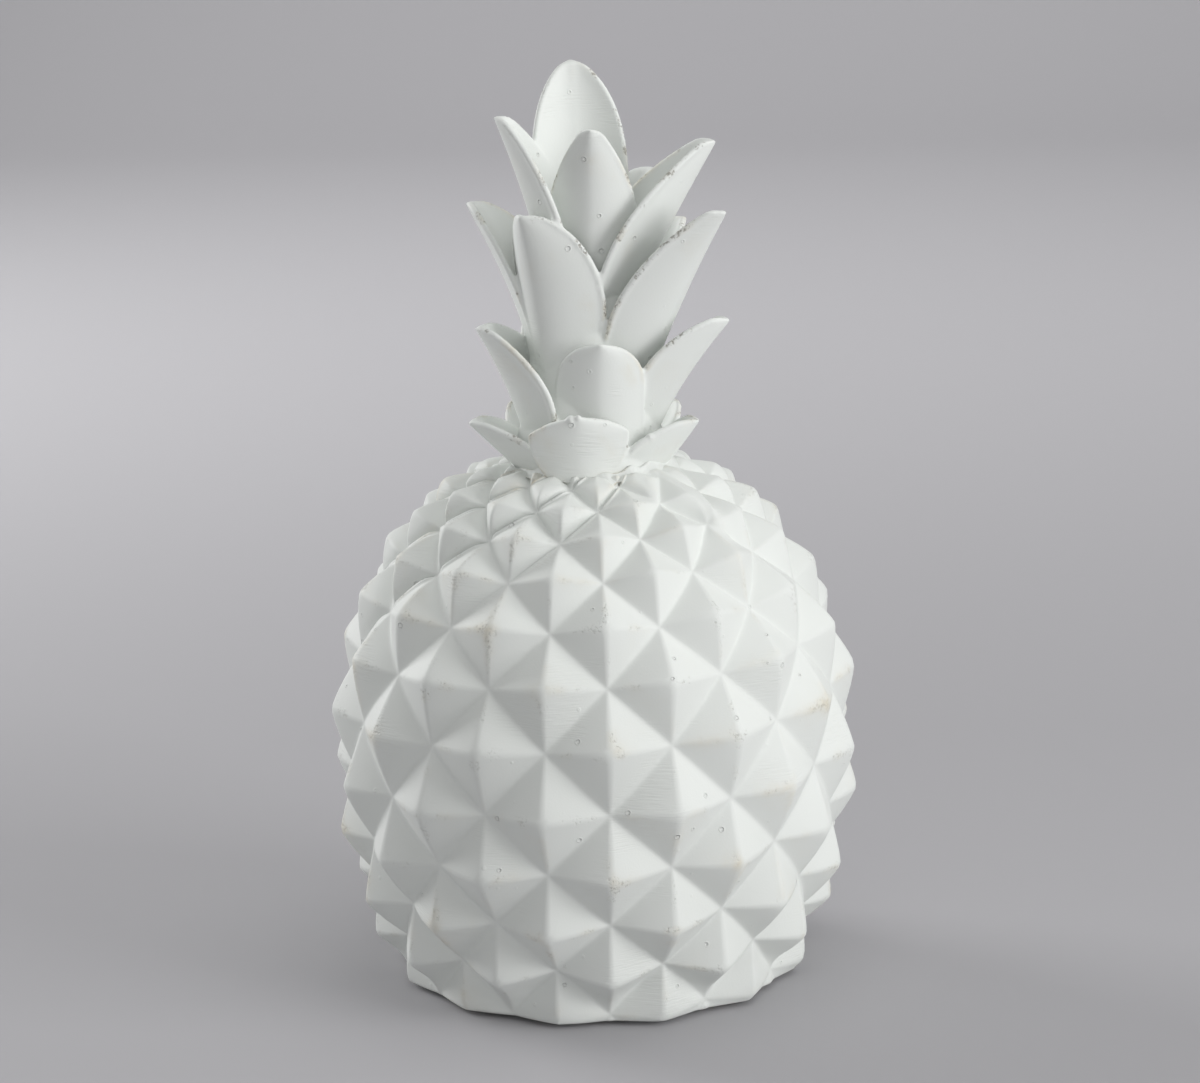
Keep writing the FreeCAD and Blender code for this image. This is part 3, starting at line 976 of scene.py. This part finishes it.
TIERS = (
    Tier(-3.6, 20.6, (Leaf(-7, 24.7, 16.5, 12.9, Outline.BOWED, 0.28, 9, 0.32, 0.42),)),
    Tier(
        -0.6, 19.6,
        (
            Leaf(67, 30.3, 12.8, 12.4, Outline.FLARED, 0.55, 0, 0.36, 0.3),
            Leaf(134, 32.0, 11.2, 12.6, Outline.FLARED, 0.5, 0, 0.36, 0.3),
            Leaf(-142, 32.6, 11.2, 12.6, Outline.FLARED, 0.5, 0, 0.36, 0.3),
            Leaf(-74, 32.5, 12.4, 12.4, Outline.FLARED, 0.5, -4, 0.32, 0.32),
        ),
    ),
    Tier(
        8.0, 17.6,
        (
            Leaf(8, 21.5, 34.5, 11.5, Outline.ARCHED, 0.4, -8, 0.3, 0.5),
            Leaf(75, 37.2, 38.2, 11.6, Outline.BLADE, 0.65, -6, 0.29, 0.46),
            Leaf(152, 28.6, 35.6, 11.2, Outline.ROUNDED),
            Leaf(-150, 28.6, 35.6, 11.2, Outline.ROUNDED),
            Leaf(-78, 29.7, 36.6, 14.0, Outline.SLIM, 0.73, -13, 0.3, 0.49),
        ),
    ),
    Tier(
        20.0, 14.6,
        (
            Leaf(-46, 23.8, 66.7, 14.4, Outline.SHOULDERED, 0.69, 6, 0.49, 0.65),
            Leaf(63, 39.0, 67.0, 13.0, Outline.SLIM, 0.55, -14, 0.37, 0.53),
            Leaf(125, 31.5, 60.5, 11.2, Outline.BLADE),
            Leaf(180, 31.5, 64.6, 12.4, Outline.BLADE),
            Leaf(-111, 33.5, 66.1, 12.1, Outline.ROUNDED, 0.6, -6, 0.06, 0.46),
        ),
    ),
    Tier(
        40.0, 10.4,
        (
            Leaf(3, 18.6, 88.4, 12.0, Outline.TAPERED, 0.5, -10, 0.2, 0.5),
            Leaf(86, 33.2, 83.0, 13.9, Outline.SLIM, 0.88, 8, 0.36, 0.42),
            Leaf(136, 25.0, 73.6, 10.8, Outline.BLADE),
            Leaf(-145, 21.0, 72.0, 9.7, Outline.SLIM),
            Leaf(-77, 23.9, 90.4, 12.5, Outline.SHOULDERED, 0.64, -17, 0.14, 0.43),
        ),
    ),
    Tier(48.0, 7.5, (Leaf(194, 16.0, 102.3, 12.6, Outline.ROUNDED, 0.42, -4, 0.29, 0.53),)),
)


@dataclass(frozen=True)
class Nub:
    """A nub of casting left on a leaf.

    Attributes:
        tier: The number of the leaf's tier.
        leaf: The number of the leaf in its tier.
        along: Where it sits from the leaf's root to its tip, 0 to 1.
        across: Where it sits across the leaf, -1 to 1.
        radius: Its radius in millimetres.
        depth: Where its middle sits from the leaf's outer side to its inner one, 0 to 1 or deeper.
    """

    tier: int
    leaf: int
    along: float
    across: float
    radius: float
    depth: float = 0.5


NUBS = (
    Nub(0, 0, 0.96, -0.75, 1.3),
    Nub(0, 0, 0.97, -0.3, 0.9),
    Nub(0, 0, 1.0, 0.1, 0.8),
    Nub(0, 0, 0.55, 1.0, 1.1),
    Nub(1, 0, 0.6, -1.0, 1.1),
    Nub(1, 0, 0.9, 0.2, 1.2),
    Nub(2, 4, 0.62, -1.0, 1.2),
    Nub(3, 2, 0.92, 0.5, 1.3),
)
SEAM_SIDES = (-0.83, 0.83)
SEAM_STEPS = [step / 20 for step in range(12)]
SEAMS = tuple(Nub(0, 0, along, side, 2.2, 1.25) for side in SEAM_SIDES for along in SEAM_STEPS)


@dataclass
class LeafCrown:
    """The crown: a tapering stalk and tiers of gutter-shaped leaves, cast in one."""

    seat_height: float = 136.0
    stalk_profile: tuple[Pair, ...] = (
        (19.6, 0.0), (19.6, 4.0), (18.4, 9.0), (15.8, 24.3), (12.2, 43.5), (7.0, 64.0),
    )
    stalk_sides: int = 96
    leaf_thickness: float = 2.8
    rim_thickness: float = 1.9
    cup_power: float = 1.7
    tip_rounding: float = 2.2
    tip_loss_share: float = 0.85
    leaf_stations: int = 60
    leaf_points: int = 25
    rim_points: int = 5
    nub_rounds: int = 3
    voxel: float = 0.42
    softening: float = 0.5
    softening_rounds: int = 5
    kept_share: float = 0.36
    worn_edge: float = 0.1
    tiers: tuple[Tier, ...] = TIERS
    nubs: tuple[Nub, ...] = NUBS + SEAMS

    def leaf_skin(self, tier: Tier, leaf: Leaf) -> tuple[np.ndarray, np.ndarray]:
        """Works out a leaf's outer and inner side.

        Args:
            tier: The leaf's tier.
            leaf: The leaf.

        Returns:
            Both sides as grids of points, from root to tip and across.
        """
        angle = math.radians(leaf.azimuth)
        outward = np.array([math.sin(angle), -math.cos(angle), 0.0])
        sideways = np.array([math.cos(angle), math.sin(angle), 0.0])
        upward = np.array([0.0, 0.0, 1.0])
        root = outward * tier.root_radius + upward * (self.seat_height + tier.root)
        tip = outward * leaf.reach + upward * (self.seat_height + leaf.tip)
        run, rise = (tip - root) @ outward, (tip - root) @ upward
        bow = root + outward * run * leaf.bow_reach + upward * rise * leaf.bow_rise
        along = np.linspace(0.0, 1.0, self.leaf_stations)[:, None]
        middle = root * (1 - along) ** 2 + bow * 2 * along * (1 - along) + tip * along**2
        heading = (bow - root) * (1 - along) + (tip - bow) * along
        heading /= np.linalg.norm(heading, axis=1, keepdims=True)
        level = np.cross(heading, sideways)
        roll = math.radians(leaf.roll)
        across = sideways * math.cos(roll) + level * math.sin(roll)
        inward = level * math.cos(roll) - sideways * math.sin(roll)
        form = leaf.outline.value
        before = np.clip(1 - along / form.widest, 0, 1)
        after = np.clip((along - form.widest) / (1 - form.widest), 0, 1)
        share = (1 - (1 - form.root) * before**2) * (
            form.tip + (1 - form.tip) * (1 - after**form.power) ** form.fall
        )
        length = np.linalg.norm(tip - root)
        past = np.clip(1 - (1 - along) * length / self.tip_rounding, 0, 1)
        rounding = np.sqrt(1 - self.tip_loss_share * past**2)
        half = (leaf.half_width * share - self.rim_thickness / 2) * rounding
        place = np.linspace(-1.0, 1.0, self.leaf_points)[None, :]
        rim = np.abs(place)
        depth = leaf.cup * half * rim**self.cup_power
        thickness = (self.rim_thickness * rim + self.leaf_thickness * (1 - rim)) * rounding
        sides = across[:, None] * (half * place)[..., None]
        outer = middle[:, None] + sides + inward[:, None] * depth[..., None]
        inner = outer + inward[:, None] * thickness[..., None]
        return outer, inner

    def rim_arc(self, start: np.ndarray, end: np.ndarray, away: np.ndarray) -> np.ndarray:
        """Rounds a leaf's rim with an arc from one of its sides to the other.

        Args:
            start: The rim's points on the side that the arc starts from.
            end: Its points on the other side.
            away: Directions out of the leaf, one for each point.

        Returns:
            The arc's points between both sides, for each station of the leaf.
        """
        centre, spoke = (start + end) / 2, (start - end) / 2
        axis = spoke / np.linalg.norm(spoke, axis=1, keepdims=True)
        away = away - axis * (away * axis).sum(1, keepdims=True)
        away *= np.linalg.norm(spoke, axis=1, keepdims=True) / np.linalg.norm(away, axis=1, keepdims=True)
        turns = np.linspace(0.0, math.pi, self.rim_points + 2)[1:-1]
        return np.stack([centre + spoke * math.cos(turn) + away * math.sin(turn) for turn in turns], 1)

    def add_leaf(self, made: BMesh, tier: Tier, leaf: Leaf) -> None:
        """Adds a leaf as a closed skin.

        Args:
            made: The mesh.
            tier: The leaf's tier.
            leaf: The leaf.
        """
        outer, inner = self.leaf_skin(tier, leaf)
        right = self.rim_arc(outer[:, -1], inner[:, -1], outer[:, -1] - outer[:, -2])
        left = self.rim_arc(inner[:, 0], outer[:, 0], outer[:, 0] - outer[:, 1])
        add_skin(made, np.concatenate([outer, right, inner[:, ::-1], left], axis=1) * MM)

    def add_nub(self, made: BMesh, nub: Nub) -> None:
        """Adds a nub as a closed ball.

        Args:
            made: The mesh.
            nub: The nub.
        """
        tier = self.tiers[nub.tier]
        outer, inner = self.leaf_skin(tier, tier.leaves[nub.leaf])
        station = round(nub.along * (self.leaf_stations - 1))
        place = round((nub.across + 1) / 2 * (self.leaf_points - 1))
        near, far = outer[station, place], inner[station, place]
        centre = Matrix.Translation(Vector(near + (far - near) * nub.depth) * MM)
        bmesh.ops.create_icosphere(
            made, subdivisions=self.nub_rounds, radius=nub.radius * MM, matrix=centre
        )

    def add_stalk(self, made: BMesh) -> None:
        """Adds the stalk as a closed skin.

        Args:
            made: The mesh.
        """
        angles = [math.tau * side / self.stalk_sides for side in range(self.stalk_sides)]
        rings = [
            [
                Vector((radius * math.cos(angle), radius * math.sin(angle), self.seat_height + height)) * MM
                for angle in angles
            ]
            for radius, height in self.stalk_profile
        ]
        add_skin(made, rings)

    def build(self, finish: PaintedResin) -> None:
        """Makes the crown and dresses it.

        The leaves and the stalk are fused by a remesh and softened, as a mould softens them.

        Args:
            finish: The crown's finish.
        """
        made = bmesh.new()
        self.add_stalk(made)
        for tier in self.tiers:
            for leaf in tier.leaves:
                self.add_leaf(made, tier, leaf)
        for nub in self.nubs:
            self.add_nub(made, nub)
        parts = linked("crown_parts", mesh_of(made, "crown_parts"))
        fused = parts.modifiers.new("fused", "REMESH")
        fused.mode = "VOXEL"
        fused.voxel_size = self.voxel * MM
        softened = parts.modifiers.new("softened", "SMOOTH")
        softened.factor = self.softening
        softened.iterations = self.softening_rounds
        thinned = parts.modifiers.new("thinned", "DECIMATE")
        thinned.ratio = self.kept_share
        crown = plain_mesh(parts, "crown")
        material = new_material(finish.name, finish.surface)
        dress(crown, material, "leaf_crown", self.worn_edge)


@dataclass
class NeckFiller:
    """The filler smeared by hand into the corner between the fruit and the crown."""

    seat_height: float = 136.0
    inner_radius: float = 19.4
    top_radius: float = 20.4
    seat_radius: float = 22.0
    width: float = 1.6
    height: float = 0.8
    sides: int = 360
    steps: int = 16
    lump: float = 0.5
    lump_height_share: float = 0.8
    lump_turns: tuple[int, ...] = (3, 7, 12, 19)
    lump_phases: tuple[float, ...] = (0.4, 2.1, 5.0, 1.3)
    smears: tuple[Quad, ...] = (
        (78, 24.0, 3.4, 5.2),
        (10, 4.5, 3.5, 0.6),
        (30, 6.0, 4.0, 1.8),
        (51, 8.0, 4.0, 1.6),
        (-36, 8.0, 1.6, 2.4),
        (150, 8.0, 3.0, 0.6),
        (-110, 7.0, 3.0, 0.5),
    )
    slope_share: float = 0.42
    sink: float = 0.6
    worn_edge: float = 0.3

    def ring(self, angle: float) -> list[Vector]:
        """Works out the filler's section at an angle about the axis.

        Args:
            angle: Radians from the front, to the right positive.

        Returns:
            The section's points in metres, in order round it.
        """
        waves = sum(
            math.sin(turns * angle + phase) / (order + 2)
            for order, (turns, phase) in enumerate(zip(self.lump_turns, self.lump_phases))
        )
        width = self.width + self.lump * waves
        height = self.height + self.lump * waves * self.lump_height_share
        for azimuth, spread, more_width, more_height in self.smears:
            away = (math.degrees(angle) - azimuth + 180) % 360 - 180
            share = math.exp(-((away / spread) ** 2))
            width += more_width * share
            height += more_height * share
        section = []
        for step in range(self.steps):
            turn = math.pi / 2 * step / (self.steps - 1)
            radius = self.top_radius + width * (1 - math.sin(turn))
            level = (height + self.sink) * (1 - math.cos(turn)) - self.sink
            section.append((radius, level - max(radius - self.seat_radius, 0) * self.slope_share))
        section += [(self.inner_radius, height), (self.inner_radius, -self.sink)]
        return [
            Vector((radius * math.sin(angle), -radius * math.cos(angle), self.seat_height + level)) * MM
            for radius, level in section
        ]

    def build(self, finish: PaintedResin) -> None:
        """Makes the filler and dresses it.

        Args:
            finish: The filler's finish.
        """
        made = bmesh.new()
        angles = [math.tau * side / self.sides for side in range(self.sides)]
        add_skin(made, [self.ring(angle) for angle in angles], is_loop=True)
        filler = linked("filler", mesh_of(made, "filler"))
        material = new_material(finish.name, finish.surface)
        dress(filler, material, "neck_filler", self.worn_edge)


@dataclass
class Foot:
    """The plug and the felt pad, which are the CAD model's own pieces."""

    finishes: tuple[tuple[str, BareResin | WoolFelt, Slot], ...] = (
        ("base_plug", BareResin(), Slot.PLUG_RESIN),
        ("felt_pad", WoolFelt(), Slot.FELT),
    )

    def dress(self) -> None:
        """Gives each piece its material."""
        for node, finish, slot in self.finishes:
            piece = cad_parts[node]
            piece.data.materials.clear()
            piece.data.materials.append(new_material(finish.name, finish.surface))
            LOG.info("%s: finish %s", node, finish.name)


@dataclass
class Studio:
    """Floor, backdrop, lamps and camera, in metres and degrees."""

    floor_colour: str = "#AEADB0"
    floor_roughness: float = 0.85
    floor_half_width: float = 3.0
    floor_front: float = -2.0
    floor_back: float = 1.6
    sweep_radius: float = 0.8
    sweep_steps: int = 16
    wall_height: float = 2.6
    world_colour: str = "#FFFFFF"
    world_strength: float = 0.39
    camera_distance: float = 1.0
    camera_elevation: float = 13.6
    camera_roll: float = 0.9
    aim_height: float = 0.1147
    lens_mm: float = 115.26
    shift_share: float = 0.0065

    def floor_surface(self, place: Field) -> dict[str, object]:
        """Gives the floor's shader inputs, which are the same all over."""
        return {"Base Color": linear(self.floor_colour), "Roughness": self.floor_roughness}

    def floor(self) -> None:
        """Makes the floor, which sweeps up into the backdrop."""
        line = [(self.floor_front, 0.0), (self.floor_back, 0.0)]
        for step in range(1, self.sweep_steps + 1):
            turn = math.pi / 2 * step / self.sweep_steps
            depth = self.floor_back + self.sweep_radius * math.sin(turn)
            line.append((depth, self.sweep_radius * (1 - math.cos(turn))))
        line.append((line[-1][0], self.wall_height))
        half = self.floor_half_width
        points = [(side, depth, height) for depth, height in line for side in (-half, half)]
        faces = [(2 * step, 2 * step + 1, 2 * step + 3, 2 * step + 2) for step in range(len(line) - 1)]
        mesh = bpy.data.meshes.new("floor")
        mesh.from_pydata(points, [], faces)
        mesh.shade_smooth()
        mesh.materials.append(new_material("plain studio floor", self.floor_surface))
        linked("floor", mesh)

    def lamp(
        self, name: str, place: Sequence[float], size: float, power: float, target: Sequence[float] = ()
    ) -> None:
        """Adds a square soft lamp.

        Args:
            name: The lamp's name.
            place: Its place.
            size: The length of its side.
            power: Its power in watts.
            target: The point that it looks at, the middle of the figurine by default.
        """
        data = bpy.data.lights.new(name, "AREA")
        data.shape = "SQUARE"
        data.size = size
        data.energy = power
        lamp = linked(name, data)
        lamp.location = place
        towards = Vector(target or (0.0, 0.0, self.aim_height)) - lamp.location
        lamp.rotation_euler = towards.to_track_quat("-Z", "Y").to_euler()

    def light(self) -> None:
        """Sets the world and the lamps."""
        world = bpy.data.worlds.new("studio")
        bpy.context.scene.world = world
        world.use_nodes = True
        background = world.node_tree.nodes["Background"]
        background.inputs["Color"].default_value = linear(self.world_colour)
        background.inputs["Strength"].default_value = self.world_strength
        self.lamp("key", (1.4, -0.7, 0.5), 0.9, 15.5)
        self.lamp("top", (0.3, -0.1, 1.6), 1.2, 6.0)
        self.lamp("rim", (-1.1, 0.8, 0.5), 0.6, 11.0)
        self.lamp("fill", (-0.1, -1.6, 0.15), 1.0, 3.0)
        self.lamp("backdrop", (0.0, 0.9, 1.3), 1.2, 12.5, (0.0, 2.4, 0.5))

    def camera(self) -> None:
        """Sets the camera at the photograph's angle."""
        data = bpy.data.cameras.new("camera")
        data.lens = self.lens_mm
        data.shift_x = self.shift_share
        camera = linked("camera", data)
        elevation = math.radians(self.camera_elevation)
        back = Vector((0.0, -math.cos(elevation), math.sin(elevation)))
        camera.location = Vector((0.0, 0.0, self.aim_height)) + back * self.camera_distance
        turn = (-back).to_track_quat("-Z", "Y").to_matrix()
        rolled = turn @ Matrix.Rotation(-math.radians(self.camera_roll), 3, "Z")
        camera.rotation_euler = rolled.to_euler()
        bpy.context.scene.camera = camera

    def build(self) -> None:
        """Makes the whole studio."""
        bpy.context.scene.view_settings.view_transform = "Standard"
        self.floor()
        self.light()
        self.camera()


def main() -> None:
    """Builds the studio and the figurine, piece by piece."""
    logging.basicConfig(level=logging.INFO, format="%(message)s")
    Studio().build()
    ScaledFruit().build(PaintedResin())
    # The leaves' paint colours are a lighter copy of the fruit's: painted light for the brighter light on
    # the crown, not a different paint.
    leaves = PaintedResin(
        name="matt white acrylic on cast resin leaves with painted light",
        paint="#EAEDEA",
        shade="#E1E4E0",
        ochre_gain=14.0,
        dirt_gain=5.0,
        chip_depth_mm=1.2,
        filed_spots=((-0.5, -23.0, 145.5, 4.5), (7.5, -21.5, 158.0, 4.5)),
    )
    LeafCrown().build(leaves)
    NeckFiller().build(PaintedResin(name="matt white acrylic on filler", smear_depth_mm=0.35))
    Foot().dress()


if __name__ == "__main__":
    main()
